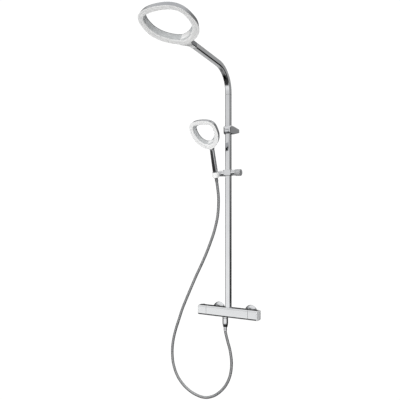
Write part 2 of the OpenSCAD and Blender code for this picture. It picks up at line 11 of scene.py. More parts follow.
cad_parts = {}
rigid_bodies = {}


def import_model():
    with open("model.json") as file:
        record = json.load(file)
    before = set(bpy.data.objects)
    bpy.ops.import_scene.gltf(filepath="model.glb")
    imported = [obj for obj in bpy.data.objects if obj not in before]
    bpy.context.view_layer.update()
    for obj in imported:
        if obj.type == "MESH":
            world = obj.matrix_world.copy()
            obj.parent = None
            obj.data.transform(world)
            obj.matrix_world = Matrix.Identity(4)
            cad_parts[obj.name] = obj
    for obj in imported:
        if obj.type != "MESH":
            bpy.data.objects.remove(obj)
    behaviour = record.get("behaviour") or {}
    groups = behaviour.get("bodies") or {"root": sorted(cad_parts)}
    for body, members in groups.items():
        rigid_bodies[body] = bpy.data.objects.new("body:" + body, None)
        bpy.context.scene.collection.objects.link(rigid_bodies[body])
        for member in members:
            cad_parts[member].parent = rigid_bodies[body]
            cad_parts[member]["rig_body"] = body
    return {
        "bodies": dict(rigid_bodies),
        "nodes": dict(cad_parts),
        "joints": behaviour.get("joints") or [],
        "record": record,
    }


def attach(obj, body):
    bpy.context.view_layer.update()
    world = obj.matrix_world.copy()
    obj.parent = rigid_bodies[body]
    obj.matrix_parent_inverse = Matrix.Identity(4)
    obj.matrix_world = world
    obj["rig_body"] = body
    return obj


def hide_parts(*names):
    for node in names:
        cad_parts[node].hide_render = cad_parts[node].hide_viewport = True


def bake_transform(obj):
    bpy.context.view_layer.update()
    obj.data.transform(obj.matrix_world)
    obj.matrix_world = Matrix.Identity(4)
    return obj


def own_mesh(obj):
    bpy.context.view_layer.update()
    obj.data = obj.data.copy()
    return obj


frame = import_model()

NODES = frame["nodes"]
SLOTS = {s["node"]: s["material_slot"] for s in frame["record"]["subparts"]}
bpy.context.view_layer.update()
MM = 0.001

# Main sizes, the same as in the CAD source
CY = -58
TUBE, TUBE_CORNER, TUBE_WALL = 22, 5, 1.8
JOINT_GAP = 0.4  # half of the seam between the column and the arm
RISER_TOP = 888
BEND_R = 106
ARM_SLOPE = 9.8
ARM_LEN = 173
BAR_H, BAR_D, BAR_CORNER = 40, 37, 7
SLEEVE_HALF = 95.7
KNOB_X, KNOB_END, CAP_T = 96.3, 137.5, 3.2
BUTTON_X = 117
INLET_X = 75
HOSE_X = -14.5
BORE, BORE_CORNER = 25.4, 6.5
BRACKET_Z = 743
SLIDER_Z = 569
PIVOT_Y, PIVOT_Z = -66, 566
HANDLE_LEAN = 16.2
HANDLE_BASE = Vector((-46, -81.4, 560.8))
HANDLE_TOP = 105
HEAD_TILT, HAND_TILT = 22, 53
HEAD_T, HAND_T = 25, 20

BEND = math.radians(90 - ARM_SLOPE)
ARC_Z = RISER_TOP + 7.8
ARM_START = Vector((0, CY - BEND_R * (1 - math.cos(BEND)), ARC_Z + BEND_R * math.sin(BEND)))
ARM_WAY = Vector((0, -math.sin(BEND), math.cos(BEND)))
ARM_END = ARM_START + ARM_LEN * ARM_WAY


def frame_at(origin, turn):
    """A frame at origin, turned about X by some degrees."""
    return Matrix.Translation(origin) @ Matrix.Rotation(math.radians(turn), 4, "X")


HANDLE_FRAME = frame_at(HANDLE_BASE, HANDLE_LEAN)
HEAD_FRAME = frame_at(ARM_END + Vector((0, -61.7, -11.2)), -HEAD_TILT)
HAND_ORIGIN = HANDLE_FRAME @ Vector((0, 0, HANDLE_TOP)) + Vector((0, -19.5, -0.8))
HAND_FRAME = frame_at(HAND_ORIGIN, -HAND_TILT)
ALONG_X = Matrix(((0, 0, 1, 0), (1, 0, 0, CY), (0, 1, 0, 0), (0, 0, 0, 1)))


# ---------- camera ----------

CAMERA_TURN = 31.63  # degrees from the wall's normal
camera = bpy.data.objects.new("camera", bpy.data.cameras.new("camera"))
bpy.context.scene.collection.objects.link(camera)
camera.location = (1.1387, -2.1280, 0.4579)
camera.rotation_euler = (math.radians(90), 0, math.radians(CAMERA_TURN))
camera.data.sensor_width = 36
camera.data.lens = 52.0
bpy.context.scene.camera = camera


# ---------- materials ----------

def noise(nodes, coord, scale, detail=3, stretch=None):
    """A noise texture on object coordinates, with its cells stretched if asked."""
    tree = nodes.id_data
    source = coord
    if stretch:
        mapping = nodes.new("ShaderNodeMapping")
        mapping.inputs["Scale"].default_value = stretch
        tree.links.new(coord, mapping.inputs["Vector"])
        source = mapping.outputs["Vector"]
    texture = nodes.new("ShaderNodeTexNoise")
    texture.inputs["Scale"].default_value = scale
    texture.inputs["Detail"].default_value = detail
    tree.links.new(source, texture.inputs["Vector"])
    return texture.outputs["Fac"]


def ranged(nodes, value, low, high, start=0.3, stop=0.7):
    """The value moved from start..stop to low..high."""
    change = nodes.new("ShaderNodeMapRange")
    for name, number in (("From Min", start), ("From Max", stop), ("To Min", low), ("To Max", high)):
        change.inputs[name].default_value = number
    nodes.id_data.links.new(value, change.inputs["Value"])
    return change.outputs["Result"]


def mixed(nodes, factor, first, second):
    """A colour between two colours."""
    mix = nodes.new("ShaderNodeMix")
    mix.data_type = "RGBA"
    mix.inputs["A"].default_value = (*first, 1)
    mix.inputs["B"].default_value = (*second, 1)
    nodes.id_data.links.new(factor, mix.inputs["Factor"])
    return mix.outputs["Result"]


def surface(name, tones, rough, metallic=0.0, cloud=14, grain=900, stretch=None, bump=0.02, wear=None,
            **sockets):
    """A procedural material: clouded tone, uneven roughness, fine grain and worn edges."""
    material = bpy.data.materials.new(name)
    material.use_nodes = True
    nodes, links = material.node_tree.nodes, material.node_tree.links
    shader = nodes["Principled BSDF"]
    shader.inputs["Metallic"].default_value = metallic
    for socket, value in sockets.items():
        shader.inputs[socket.replace("_", " ")].default_value = value
    coord = nodes.new("ShaderNodeTexCoord").outputs["Object"]
    colour = mixed(nodes, ranged(nodes, noise(nodes, coord, cloud), 0, 1), *tones)
    if wear:
        edge = nodes.new("ShaderNodeNewGeometry").outputs["Pointiness"]
        worn = nodes.new("ShaderNodeMix")
        worn.data_type = "RGBA"
        links.new(ranged(nodes, edge, 0, 1, 0.52, 0.60), worn.inputs["Factor"])
        links.new(colour, worn.inputs["A"])
        worn.inputs["B"].default_value = (*wear, 1)
        colour = worn.outputs["Result"]
    links.new(colour, shader.inputs["Base Color"])
    smear = noise(nodes, coord, cloud * 3, 5, stretch)
    links.new(ranged(nodes, smear, *rough), shader.inputs["Roughness"])
    relief = nodes.new("ShaderNodeBump")
    relief.inputs["Strength"].default_value = bump
    relief.inputs["Distance"].default_value = 0.0005
    links.new(noise(nodes, coord, grain, 2, stretch), relief.inputs["Height"])
    links.new(relief.outputs["Normal"], shader.inputs["Normal"])
    return material


MATERIALS = {
    "polished_chrome": surface(
        "polished_chrome", ((0.80, 0.81, 0.82), (0.74, 0.75, 0.77)), (0.04, 0.11),
        metallic=1, grain=300, bump=0.004, wear=(0.9, 0.9, 0.9)),
    "satin_chrome": surface(
        "satin_chrome", ((0.84, 0.85, 0.86), (0.79, 0.80, 0.81)), (0.13, 0.2),
        metallic=1, cloud=9, grain=700, stretch=(0.08, 1, 1), bump=0.012, wear=(0.92, 0.92, 0.92)),
    "plated_plastic": surface(
        "plated_plastic", ((0.46, 0.47, 0.48), (0.40, 0.41, 0.43)), (0.14, 0.22),
        metallic=1, cloud=20, bump=0.015, wear=(0.88, 0.88, 0.88)),
    "matt_chrome": surface(
        "matt_chrome", ((0.86, 0.87, 0.88), (0.80, 0.81, 0.82)), (0.45, 0.55),
        metallic=0.25, cloud=24, grain=900, bump=0.02, wear=(0.9, 0.9, 0.9)),
    "satin_plastic": surface(
        "satin_plastic", ((0.56, 0.57, 0.58), (0.50, 0.51, 0.52)), (0.32, 0.42),
        metallic=0.6, cloud=24, grain=300, bump=0.01, wear=(0.7, 0.7, 0.7)),
    "brass": surface(
        "brass", ((0.70, 0.52, 0.25), (0.60, 0.43, 0.19)), (0.22, 0.42),
        metallic=1, cloud=30, bump=0.06, wear=(0.8, 0.62, 0.34)),
    "steel": surface(
        "steel", ((0.58, 0.58, 0.59), (0.48, 0.48, 0.50)), (0.25, 0.45),
        metallic=1, cloud=40, bump=0.06, wear=(0.72, 0.72, 0.72)),
    "white_gloss": surface(
        "white_gloss", ((0.88, 0.88, 0.875), (0.85, 0.855, 0.855)), (0.12, 0.22),
        cloud=16, grain=300, bump=0.003, Coat_Weight=0.35, Coat_Roughness=0.05),
    # The cradle's white is lighter than white_gloss: the extra lightness is painted light, standing for the
    # front light on the cradle
    "cradle_white_painted_light": surface(
        "cradle_white_painted_light", ((0.94, 0.94, 0.935), (0.92, 0.925, 0.925)), (0.15, 0.24),
        cloud=16, grain=300, bump=0.003),
    "grey_nozzle": surface(
        "grey_nozzle", ((0.60, 0.615, 0.62), (0.54, 0.555, 0.56)), (0.38, 0.52),
        cloud=45, grain=1200, bump=0.05),
    "black_rubber": surface(
        "black_rubber", ((0.025, 0.025, 0.025), (0.05, 0.05, 0.05)), (0.55, 0.75),
        cloud=60, grain=1600, bump=0.15),
    "black_plastic": surface(
        "black_plastic", ((0.018, 0.018, 0.02), (0.035, 0.035, 0.037)), (0.25, 0.42),
        cloud=50, grain=1500, bump=0.08),
    "white_plastic": surface(
        "white_plastic", ((0.84, 0.84, 0.82), (0.78, 0.78, 0.76)), (0.35, 0.5),
        cloud=40, grain=1200, bump=0.05),
    "hose_metal": surface(
        "hose_metal", ((0.56, 0.57, 0.58), (0.45, 0.46, 0.47)), (0.2, 0.36),
        metallic=1, cloud=35, grain=1400, bump=0.05, wear=(0.75, 0.75, 0.75)),
}


# ---------- mesh helpers ----------

def round_rect(width, depth, radius, steps=8):
    """Rectangle with round corners. A point beside each corner keeps the sides' shading flat."""
    radius = max(radius, 0.02)
    points = []
    for quarter, (sx, sy) in enumerate(((1, 1), (-1, 1), (-1, -1), (1, -1))):
        middle = Vector((sx * (width / 2 - radius), sy * (depth / 2 - radius)))
        turns = [math.radians(90 * (quarter + k / steps)) for k in range(steps + 1)]
        corner = [middle + radius * Vector((math.cos(a), math.sin(a))) for a in turns]
        flats = (abs(middle.y), abs(middle.x)) if quarter % 2 == 0 else (abs(middle.x), abs(middle.y))
        before, after = (max(min(0.4, flat / 2), 0.005) for flat in flats)
        way_in = Vector((-math.sin(turns[0]), math.cos(turns[0])))
        way_out = Vector((-math.sin(turns[-1]), math.cos(turns[-1])))
        points += [tuple(p) for p in [corner[0] - before * way_in] + corner + [corner[-1] + after * way_out]]
    return points


def circle(radius, sides=64):
    return [(radius * math.cos(2 * math.pi * k / sides), radius * math.sin(2 * math.pi * k / sides))
            for k in range(sides)]


def bezier(a, b, c, d, t):
    return [(1 - t) ** 3 * p + 3 * (1 - t) ** 2 * t * q + 3 * (1 - t) * t * t * r + t ** 3 * s
            for p, q, r, s in zip(a, b, c, d)]


def loft(rings, closed=False):
    """Points and faces over rings of the same count. An open loft gets flat ends."""
    count, total = len(rings[0]), len(rings)
    points = [tuple(p) for ring in rings for p in ring]
    faces = []
    for k in range(total if closed else total - 1):
        a, b = k * count, (k + 1) % total * count
        faces += [(a + i, a + (i + 1) % count, b + (i + 1) % count, b + i) for i in range(count)]
    if not closed:
        faces += [tuple(range(count - 1, -1, -1)), tuple(range((total - 1) * count, total * count))]
    return points, faces


def edge_levels(z0, z1, edge, steps=4):
    """Heights and insets of a prism whose two rims are rounded."""
    turns = [math.pi / 2 * k / steps for k in range(steps + 1)]
    low = [(z0 + edge * (1 - math.sin(a)), edge * (1 - math.cos(a))) for a in reversed(turns)]
    high = [(z1 - edge * (1 - math.sin(a)), edge * (1 - math.cos(a))) for a in turns]
    beside = min(0.4, (z1 - z0 - 2 * edge) / 4)
    return low + [(z0 + edge + beside, 0), (z1 - edge - beside, 0)] + high


def prism(width, depth, radius, z0, z1, edge=0.6, steps=8):
    """Rounded box with rounded rims."""
    return loft([
        [(x, y, z) for x, y in round_rect(width - 2 * i, depth - 2 * i, radius - i, steps)]
        for z, i in edge_levels(z0, z1, edge)])


def hollow_prism(width, depth, radius, wall, z0, z1, edge=0.4, steps=8):
    """Rounded box tube, open at both ends."""
    rings = [[(x, y, z) for x, y in round_rect(width - 2 * i, depth - 2 * i, radius - i, steps)]
             for z, i in edge_levels(z0, z1, edge, 2)]
    inner = round_rect(width - 2 * wall, depth - 2 * wall, radius - wall, steps)
    rings += [[(x, y, z) for x, y in inner] for z in (z1, z0)]
    return loft(rings, closed=True)


def lathe(profile, sides=64, closed=False):
    """A profile of radius and height turned about Z."""
    return loft([[(x, y, z) for x, y in circle(r, sides)] for r, z in profile], closed)


def soft_profile(corners, radius=0.6, steps=3):
    """The corners of an open profile, each but the first and last rounded."""
    points = [corners[0]]
    for before, here, after in zip(corners, corners[1:], corners[2:]):
        b, h, a = Vector(before), Vector(here), Vector(after)
        back, on = b - h, a - h
        reach = min(radius, back.length * 0.45, on.length * 0.45)
        start, stop = h + back.normalized() * reach, h + on.normalized() * reach
        points.append(tuple(start + back.normalized() * min(0.3, back.length * 0.04)))
        for k in range(steps + 1):
            t = k / steps
            points.append(tuple((1 - t) ** 2 * start + 2 * (1 - t) * t * h + t * t * stop))
        points.append(tuple(stop + on.normalized() * min(0.3, on.length * 0.04)))
    return points + [corners[-1]]


def placed(shape, matrix):
    return [tuple(matrix @ Vector(p)) for p in shape[0]], shape[1]


def shifted(shape, x=0, y=0, z=0):
    return placed(shape, Matrix.Translation((x, y, z)))


def mesh_of(name, shape, sharp=34):
    mesh = bpy.data.meshes.new(name)
    mesh.from_pydata([Vector(p) * MM for p in shape[0]], [], shape[1])
    work = bmesh.new()
    work.from_mesh(mesh)
    bmesh.ops.recalc_face_normals(work, faces=work.faces)
    work.to_mesh(mesh)
    work.free()
    smooth(mesh, sharp)
    return mesh


def smooth(mesh, sharp=34):
    mesh.polygons.foreach_set("use_smooth", [True] * len(mesh.polygons))
    mesh.set_sharp_from_angle(angle=math.radians(sharp))


def piece(name, shape, node, cut=(), add=(), sharp=34, material=None):
    """A visible piece that stands for a CAD node, with shapes cut out of it or added to it."""
    obj = bpy.data.objects.new(name, mesh_of(name, shape, sharp))
    bpy.context.scene.collection.objects.link(obj)
    helpers = []
    for operation, shapes in (("UNION", add), ("DIFFERENCE", cut)):
        for other in shapes:
            tool = bpy.data.objects.new("tool", mesh_of("tool", other))
            bpy.context.scene.collection.objects.link(tool)
            helpers.append(tool)
            change = obj.modifiers.new("shape", "BOOLEAN")
            change.operation, change.object, change.solver = operation, tool, "EXACT"
    if helpers:
        graph = bpy.context.evaluated_depsgraph_get()
        done = bpy.data.meshes.new_from_object(obj.evaluated_get(graph))
        obj.modifiers.clear()
        obj.data = done
        smooth(done, sharp)
        for tool in helpers:
            bpy.data.objects.remove(tool)
    obj.data.name = name
    obj.data.materials.clear()
    obj.data.materials.append(MATERIALS[material or SLOTS[node]])
    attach(obj, NODES[node]["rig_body"])
    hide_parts(node)
    return obj


# ---------- hose ----------

def handle_point(t):
    return HANDLE_FRAME @ Vector((0, 0, t))


ROUTE = [tuple(handle_point(-13.3)), tuple(handle_point(-30))] + [
    (-45.5, -66, 502), (-45, -61, 470), (-47, -58, 430), (-52, -57, 388), (-61, -57, 350),
    (-74, -57, 310), (-102, -57, 243), (-128, -57, 190), (-156, -57, 137), (-181, -57, 86),
    (-204, -57, 38), (-226, -57, -10), (-244, -57, -58), (-262, -57, -108), (-274, -57, -156),
    (-278, -57, -202), (-272, -57, -252), (-250, -57, -302), (-212, -57, -340), (-164, -57, -363),
    (-112, -57, -369), (-62, -57, -350), (-19, -57, -310), (6, -57, -262), (14, -57, -210),
    (8, -57, -160), (-4, -58, -118), (-13, -58, -86), (HOSE_X, -58, -72), (HOSE_X, -58, -62.3)]


def smooth_route(points, fine=24):
    """The smooth curve through the points that the CAD source draws, as closely spaced points."""
    p = np.array(points, float)
    last = len(p) - 1
    out = []
    for k in range(last):
        a, b, c, d = p[max(k - 1, 0)], p[k], p[k + 1], p[min(k + 2, last)]
        for s in range(fine):
            t = s / fine
            out.append(b + t * (c - a) / 2 + t * t * (a - 2.5 * b + 2 * c - d / 2)
                       + t ** 3 * (1.5 * (b - c) + (d - a) / 2))
    out.append(p[last])
    return np.array(out)


# One rib of the hose: share of the pitch and radius, from its groove on
RIB = [(0.0, 5.35), (0.14, 5.85), (0.5, 6.0), (0.86, 5.85)]
RINGS_PER_RIB = len(RIB)


def hose_rings(line, pitch=2.6, sides=16):
    """Ring centres and rings of a ribbed tube along the line. A groove lies at every pitch."""
    lengths = np.concatenate([[0], np.cumsum(np.linalg.norm(np.diff(line, axis=0), axis=1))])
    ribs = round(lengths[-1] / pitch)
    pitch = lengths[-1] / ribs
    stations = [((k + part) * pitch, r) for k in range(ribs) for part, r in RIB]
    stations.append((lengths[-1], RIB[0][1]))
    centres = np.array([[np.interp(s, lengths, line[:, i]) for i in range(3)] for s, _ in stations])
    way = np.gradient(centres, axis=0)
    way /= np.linalg.norm(way, axis=1)[:, None]
    across = np.cross(way, [0, 1, 0])
    across /= np.linalg.norm(across, axis=1)[:, None]
    other = np.cross(way, across)
    turns = 2 * np.pi * np.arange(sides) / sides
    radii = np.array([r for _, r in stations])[:, None, None]
    rings = centres[:, None] + radii * (
        np.cos(turns)[None, :, None] * across[:, None] + np.sin(turns)[None, :, None] * other[:, None])
    return centres, rings, np.array([s for s, _ in stations])


HOSE_LINE = smooth_route(ROUTE)
hose_centres, hose_surface, hose_stations = hose_rings(HOSE_LINE)
HOSE_LENGTH = hose_stations[-1]


def groove_at(length):
    """Number of the ring at the groove nearest to a length along the hose."""
    return round(length / HOSE_LENGTH * (len(hose_stations) - 1) / RINGS_PER_RIB) * RINGS_PER_RIB


def hose_stretch(name, start, stop):
    """One length of the hose, between two grooves. Lengths are from the cradle end."""
    first, last = groove_at(start), groove_at(stop)
    shape = loft([[tuple(p) for p in ring] for ring in hose_surface[first:last + 1]])
    obj = bpy.data.objects.new(name, mesh_of(name, shape, 60))
    bpy.context.scene.collection.objects.link(obj)
    obj.data.materials.append(MATERIALS["hose_metal"])
    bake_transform(obj)
    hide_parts("hose_tube")
    return obj


def station(test):
    """Length along the hose at the first ring centre that passes the test."""
    return next(s for s, p in zip(hose_stations, hose_centres) if test(p))


TOP_CUT, SLIDER_CUT = 150, 310
LOOP_CUT = station(lambda p: p[2] < -200)
RISE_CUT = station(lambda p: p[0] > 4 and p[2] < -200)


hose_stretch("hose_top", 0, TOP_CUT)
hose_stretch("hose_at_slider", TOP_CUT, SLIDER_CUT)
hose_stretch("hose_fall", SLIDER_CUT, LOOP_CUT)
hose_stretch("hose_loop", LOOP_CUT, RISE_CUT)
hose_stretch("hose_rise", RISE_CUT, HOSE_LENGTH)


def ferrule(name, body, matrix, material):
    """Crimped sleeve over a hose end, with pressed rings. Not in the CAD model."""
    wide, pressed, long = 7.0, 6.55, 14
    rings = [(wide, 0.22), (pressed, 0.27), (pressed, 0.36), (wide, 0.41), (wide, 0.56), (pressed, 0.61),
             (pressed, 0.70), (wide, 0.75)]
    corners = [(5.2, 0), (wide, 0)] + [(r, long * share) for r, share in rings] + [(wide, long), (5.2, long)]
    shape = placed(lathe(soft_profile(corners, 0.35), 48), matrix)
    obj = bpy.data.objects.new(name, mesh_of(name, shape))
    bpy.context.scene.collection.objects.link(obj)
    obj.data.materials.append(MATERIALS[material])
    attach(obj, body)


ferrule("hose_top_ferrule", "handset", HANDLE_FRAME @ Matrix.Translation((0, 0, -27)), "hose_metal")
ferrule("hose_outlet_ferrule", "root", Matrix.Translation((HOSE_X, CY, -76)), "polished_chrome")


# ---------- bar valve ----------

def bar_box(x0, x1, width=BAR_D, height=BAR_H, radius=BAR_CORNER, edge=0.7):
    return placed(prism(width, height, radius, x0, x1, edge, 10), ALONG_X)


def mirrored(shape):
    return [(-x, y, z) for x, y, z in shape[0]], [tuple(reversed(f)) for f in shape[1]]


sleeve_shape = hollow_prism(BAR_D, BAR_H, BAR_CORNER, 2.5, -SLEEVE_HALF, SLEEVE_HALF, 0.5, 10)
piece("valve_sleeve_skin", placed(sleeve_shape, ALONG_X), "valve_sleeve")
knob_shape = bar_box(KNOB_X, KNOB_END - CAP_T)
button_hole = shifted(lathe([(4.7, 12), (4.7, 21)]), BUTTON_X, CY)
cap_shape = bar_box(KNOB_END - CAP_T + 0.05, KNOB_END, BAR_D - 0.6, BAR_H - 0.6, 6.7, 1.1)
button_profile = [
    (5.6, 14.4), (5.6, 16.3), (4.4, 16.5), (4.4, 22.2), (4.2, 22.8), (3.6, 23.2), (2.4, 23.4), (0.8, 23.45)]
button_shape = shifted(lathe(button_profile), BUTTON_X, CY)


def coil(radius, wire, low, high, turns, sides=8):
    """A closed-ended round wire wound about Z."""
    rings = []
    for k in range(turns * 24 + 1):
        a = 2 * math.pi * k / 24
        z = low + wire + (high - low - 2 * wire) * k / (turns * 24)
        out = Vector((math.cos(a), math.sin(a), 0))
        rings.append([
            out * (radius + wire * math.cos(b)) + Vector((0, 0, z + wire * math.sin(b)))
            for b in (2 * math.pi * i / sides for i in range(sides))])
    return loft(rings)


SPRING_LOW, SPRING_HIGH, PRESS = 8.2, 14.2, 2
spring_shape = shifted(coil(3, 0.35, SPRING_LOW, SPRING_HIGH, 4), BUTTON_X, CY)
for side, turn in (("temperature", lambda s: s), ("flow", mirrored)):
    piece(f"{side}_knob_skin", turn(knob_shape), f"{side}_knob", cut=[turn(button_hole)])
    piece(f"{side}_end_plate", turn(cap_shape), f"{side}_end_cap", material="matt_chrome")
    piece(f"{side}_button_cap", turn(button_shape), f"{side}_button")
    spring = piece(f"{side}_button_coil", turn(spring_shape), f"{side}_button_spring")
    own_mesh(spring)


# ---------- wall inlets ----------

def facing_room(shape, x, z=0):
    """A shape turned so that its Z points away from the wall."""
    return placed(shape, Matrix.Translation((x, 0, z)) @ Matrix.Rotation(math.radians(90), 4, "X"))


def hex_nut(flat_r, z0, z1, bore):
    """Hexagonal nut with chamfered corners and a round bore."""
    sides = 72
    across = flat_r * math.cos(math.pi / 6)

    def ring(reach, z):
        points = []
        for k in range(sides):
            a = 2 * math.pi * k / sides
            to_flat = across / math.cos((a + math.pi / 6) % (math.pi / 3) - math.pi / 6)
            r = min(to_flat, reach)
            points.append((r * math.cos(a), r * math.sin(a), z))
        return points

    rings = [ring(across * 0.99, z0), ring(across * 1.06, z0 + 1), ring(flat_r, z0 + 2.4),
             ring(flat_r, z1 - 2.4), ring(across * 1.06, z1 - 1), ring(across * 0.99, z1)]
    rings += [[(x, y, z) for x, y in circle(bore, sides)] for z in (z1, z0)]
    return loft(rings, closed=True)


plate = soft_profile(
    [(11, 13.2), (18.4, 13.2), (22.8, 10.4), (26, 0), (28, 0), (27.3, 4.5), (24.6, 11.6), (19.4, 15),
     (11, 15), (11, 13.2)], 1.6, 4)
for side, x in (("left", -INLET_X), ("right", INLET_X)):
    plate_shape = facing_room(lathe(plate[:-1], 96, closed=True), x)
    nut_shape = facing_room(hex_nut(17.3, 20.5, 38.5, 10.2), x)
    piece(f"escutcheon_{side}_plate", plate_shape, f"escutcheon_{side}")
    piece(f"union_nut_{side}_hex", nut_shape, f"union_nut_{side}", sharp=20)


# ---------- outlets and column ----------

piece("hose_outlet_spout", shifted(lathe(soft_profile(
    [(4.5, -35), (10.48, -35), (10.48, -24), (12, -24), (12, -20), (7, -20), (7, -9), (4.5, -9)], 0.5)),
    HOSE_X, CY), "hose_outlet")
nut_profile = soft_profile(
    [(4.5, -62), (8.6, -62), (9.6, -60.5), (11.2, -50), (11.6, -48.6), (11.6, -46), (11.1, -45.6),
     (11.1, -44.8), (11.6, -44.4), (11.6, -27), (11.0, -25), (9, -25)], 0.5)
piece("hose_outlet_nut_turned", shifted(lathe(nut_profile, 80), HOSE_X, CY), "hose_outlet_nut")
cone_profile = soft_profile([(4.5, -13), (9.5, -13), (12, 13), (8.6, 13), (8.6, 5)], 0.6)
piece("hose_cone_nut_turned", placed(lathe(cone_profile, 64), HANDLE_FRAME), "hose_cone_nut")

riser_shape = hollow_prism(TUBE, TUBE, TUBE_CORNER, TUBE_WALL, 20, RISER_TOP - JOINT_GAP, 0.3, 10)
piece("riser_tube_drawn", shifted(riser_shape, 0, CY), "riser_tube")


def arm_stations():
    """Frames along the arm: the short rise, the bend, then the straight length."""
    places = [(Vector((0, CY, RISER_TOP + JOINT_GAP)), 0.0)]
    for k in range(57):
        a = BEND * k / 56
        places.append((Vector((0, CY - BEND_R * (1 - math.cos(a)), ARC_Z + BEND_R * math.sin(a))), a))
    places.append((ARM_END, BEND))
    return [Matrix.Translation(p) @ Matrix.Rotation(a, 4, "X") for p, a in places]


def arm_shape():
    edge = 0.4
    inside = TUBE - 2 * TUBE_WALL
    outer = round_rect(TUBE, TUBE, TUBE_CORNER, 10)
    rim = round_rect(TUBE - 2 * edge, TUBE - 2 * edge, TUBE_CORNER - edge, 10)
    inner = round_rect(inside, inside, TUBE_CORNER - TUBE_WALL, 10)
    frames = arm_stations()
    start, stop = frames[0], frames[-1]

    def ring(frame, outline, z=0):
        return [frame @ Vector((x, y, z)) for x, y in outline]

    outside = [ring(start, rim), ring(start, outer, edge)] + [ring(f, outer) for f in frames[1:-1]]
    outside += [ring(stop, outer, -edge), ring(stop, rim)]
    return loft(outside + [ring(f, inner) for f in reversed(frames)], closed=True)


piece("arm_tube_bent", arm_shape(), "arm_tube")


# ---------- upper wall bracket ----------

def bracket_shape():
    """Arm that widens from a narrow foot on the wall to a collar round the column."""
    sections = [  # distance from the wall, width, height, corner radius
        (0, 39.0, 14.0, 1.0), (0.8, 40, 15, 1.5), (10, 39.2, 19.2, 2), (30, 37.4, 27.8, 2.5),
        (40, 36.4, 32.0, 3), (46, 35.6, 34.4, 3.4), (50, 35.2, 35, 3.6), (60, 35, 35, 3.8),
        (66, 34.6, 34.6, 4), (69.5, 32.4, 31, 4.4), (72.5, 28.6, 24.6, 4.8), (74.6, 24, 17.5, 5),
        (75.5, 20.5, 13, 4.6)]
    return loft([
        [(x, -y, BRACKET_Z + z) for x, z in round_rect(w, h, r, 6)] for y, w, h, r in sections])


def collar_hole(z, half):
    """A bore for the column and its bush, through a collar at height z."""
    return shifted(prism(BORE, BORE, BORE_CORNER, -half, half, 0.05), 0, CY, z)


piece("bracket_arm", bracket_shape(), "bracket_body", cut=[collar_hole(BRACKET_Z, 40)], sharp=40)


# ---------- ring heads ----------

def ring_points(length, width, curve, start=0.0, count=240):
    """Evenly spaced points of a rounded triangle, from its neck end along its right side and back."""
    widest, a, b, c, d = curve
    first = [(0, 0), (a, 0), (width / 2, widest - b), (width / 2, widest)]
    second = [(width / 2, widest), (width / 2, widest + c), (d, length), (0, length)]
    dense = np.array([bezier(*part, k / 200) for part in (first, second) for k in range(200)] + [(0, length)])
    run = np.concatenate([[0], np.cumsum(np.linalg.norm(np.diff(dense, axis=0), axis=1))])
    at = np.linspace(0, run[-1], count // 2 + 1)
    right = np.stack([np.interp(at, run, dense[:, 0]), -start - np.interp(at, run, dense[:, 1])], 1)
    left = right[-2:0:-1] * [-1, 1]
    return np.concatenate([right, left])


def inset(points, amount):
    """Points moved inwards by an amount, one for all or one each."""
    way = np.roll(points, -1, 0) - np.roll(points, 1, 0)
    way /= np.linalg.norm(way, axis=1)[:, None]
    return points + np.stack([way[:, 1], -way[:, 0]], 1) * np.reshape(amount, (-1, 1))


def ring_loop(points, z):
    z = np.broadcast_to(z, len(points))
    return [(p[0], p[1], h) for p, h in zip(points, z)]


def hole_points(size, count):
    """The hole of a ring at its face and at its top, where it is smaller."""
    length, width, _, curve, band, slopes = size
    loops = []
    for by in (0, slopes[1]):
        share = 1 - 2 * by / (width - 2 * band[1])
        loops.append(ring_points(
            length - band[0] - band[2] - 2 * by, width - 2 * band[1] - 2 * by, [share * c for c in curve],
            band[0] + by, count))
    return loops


